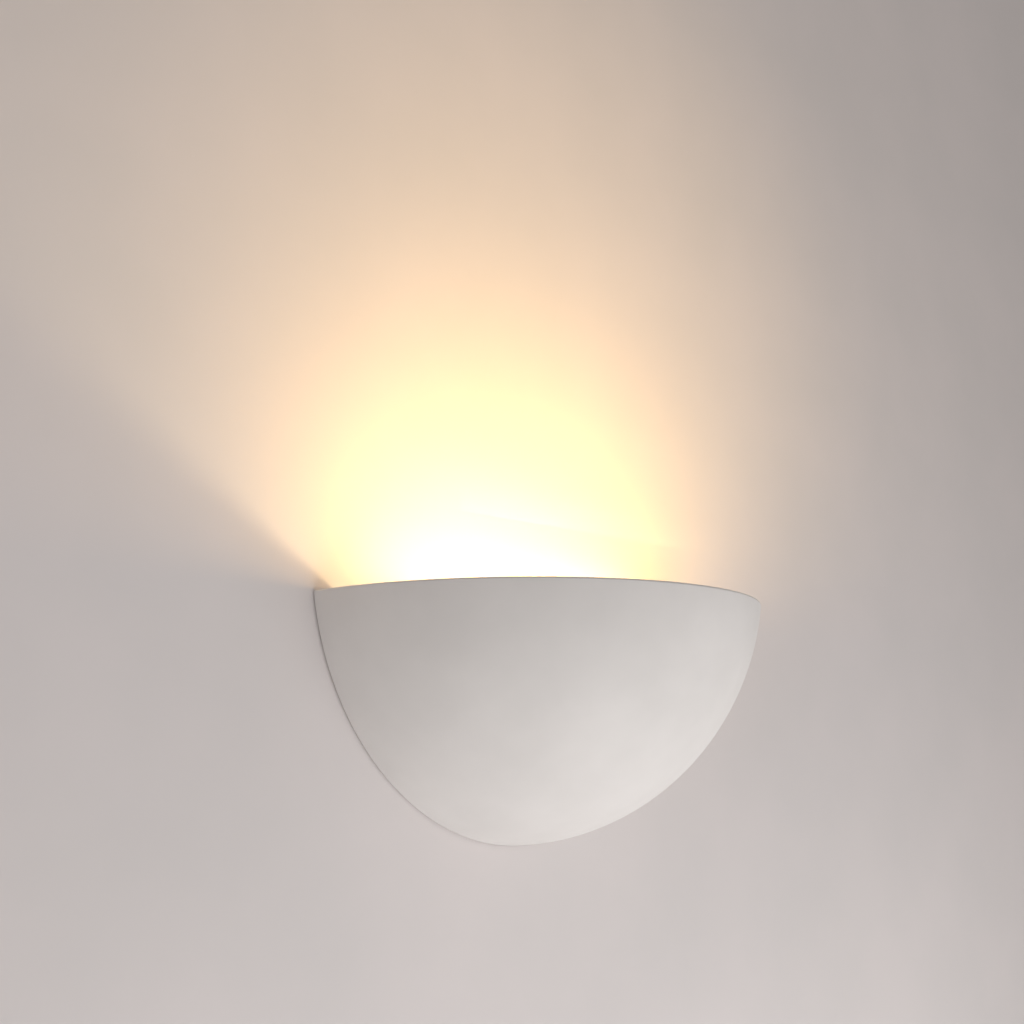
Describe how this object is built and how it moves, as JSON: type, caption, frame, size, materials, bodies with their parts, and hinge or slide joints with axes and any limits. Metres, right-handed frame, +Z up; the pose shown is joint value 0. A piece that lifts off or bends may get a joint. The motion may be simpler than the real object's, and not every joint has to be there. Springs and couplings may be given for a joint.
{
  "type": "uplighter wall sconce",
  "caption": "Half-bowl plaster uplighter that hangs on a folded steel wall bracket and holds one small screw-in ball lamp lying on its side behind the rim.",
  "frame": {"origin": "on the wall plane, midway between the two wall-screw slots, level with the lamp", "axes": "+Y into the wall, the shade stands out towards -Y; +Z up; +X to the right as seen from the room"},
  "size_m": [0.3096, 0.1498, 0.1409],
  "materials": {
    "plaster": "matte",
    "zinc_steel": "satin",
    "plated_steel": "satin",
    "brass": "satin",
    "nickel_brass": "satin",
    "bronze": "satin",
    "black_nylon": "matte",
    "white_resin": "satin",
    "steatite": "matte",
    "nylon_white": "satin",
    "brown_pvc": "satin",
    "blue_pvc": "satin",
    "earth_pvc": "satin",
    "tinned_copper": "satin",
    "cap_nickel": "satin",
    "solder": "satin",
    "black_glass": "gloss",
    "clear_glass": "gloss",
    "stem_glass": "gloss",
    "nickel_wire": "satin",
    "tungsten": "satin"
  },
  "bodies": {
    "fixture": {"wall_bracket": "zinc_steel", "ledge_nuts": "plated_steel", "cable_bush": "black_nylon", "lamp_arm": "zinc_steel", "arm_rivets": "plated_steel", "holder_nipple": "plated_steel", "nipple_washer": "plated_steel", "nipple_nut": "plated_steel", "holder_base": "white_resin", "holder_core": "steatite", "holder_posts": "brass", "holder_post_screws": "plated_steel", "holder_contact": "bronze", "holder_thread_shell": "nickel_brass", "holder_skirt": "white_resin", "terminal_body": "nylon_white", "terminal_tubes": "brass", "terminal_screws": "plated_steel", "terminal_fixing_screws": "plated_steel", "earth_stud": "brass", "earth_tag": "tinned_copper", "earth_washer": "plated_steel", "earth_nut": "brass", "live_wire": "brown_pvc", "neutral_wire": "blue_pvc", "earth_wire": "earth_pvc"},
    "lamp_tip": {"lamp_contact": "solder", "lamp_insulator": "black_glass"},
    "lamp": {"lamp_cap": "cap_nickel", "lamp_glass": "clear_glass", "lamp_stem": "stem_glass", "lamp_lead_wires": "nickel_wire", "lamp_supports": "nickel_wire", "lamp_filament": "tungsten"},
    "left_washer": {"thumb_washer_left": "plated_steel"},
    "left_screw": {"thumb_screw_left": "brass"},
    "right_washer": {"thumb_washer_right": "plated_steel"},
    "right_screw": {"thumb_screw_right": "brass"},
    "shade": {"plaster_shade": "plaster", "shade_inserts": "brass", "hanger_left": "zinc_steel", "hanger_right": "zinc_steel", "hanger_screws": "plated_steel"}
  },
  "joints": [
    {"name": "lamp_travel", "type": "slide", "parent": "fixture", "child": "lamp_tip", "axis": [-1, 0, 0], "range_m": [0, 0.0113]},
    {"name": "lamp_turn", "type": "hinge", "parent": "lamp_tip", "child": "lamp", "pos_m": [0, -0.059, 0], "axis": [-1, 0, 0], "range_deg": [0, 1440]},
    {"name": "left_screw_lift", "type": "slide", "parent": "fixture", "child": "left_washer", "axis": [0, 0, 1], "range_m": [0, 0.00285]},
    {"name": "left_screw_turn", "type": "hinge", "parent": "left_washer", "child": "left_screw", "pos_m": [-0.11404, -0.014, 0], "axis": [0, 0, 1], "range_deg": [0, 1440]},
    {"name": "right_screw_lift", "type": "slide", "parent": "fixture", "child": "right_washer", "axis": [0, 0, 1], "range_m": [0, 0.00285]},
    {"name": "right_screw_turn", "type": "hinge", "parent": "right_washer", "child": "right_screw", "pos_m": [0.11404, -0.014, 0], "axis": [0, 0, 1], "range_deg": [0, 1440]},
    {"name": "shade_slide", "type": "slide", "parent": "fixture", "child": "shade", "axis": [0, -1, 0], "range_m": [0, 0.16]}
  ],
  "couplings": [
    {"joint": "lamp_travel", "follows": "lamp_turn", "m_per_rad": 0.00044913},
    {"joint": "left_screw_lift", "follows": "left_screw_turn", "m_per_rad": 0.00011141},
    {"joint": "right_screw_lift", "follows": "right_screw_turn", "m_per_rad": 0.00011141}
  ]
}
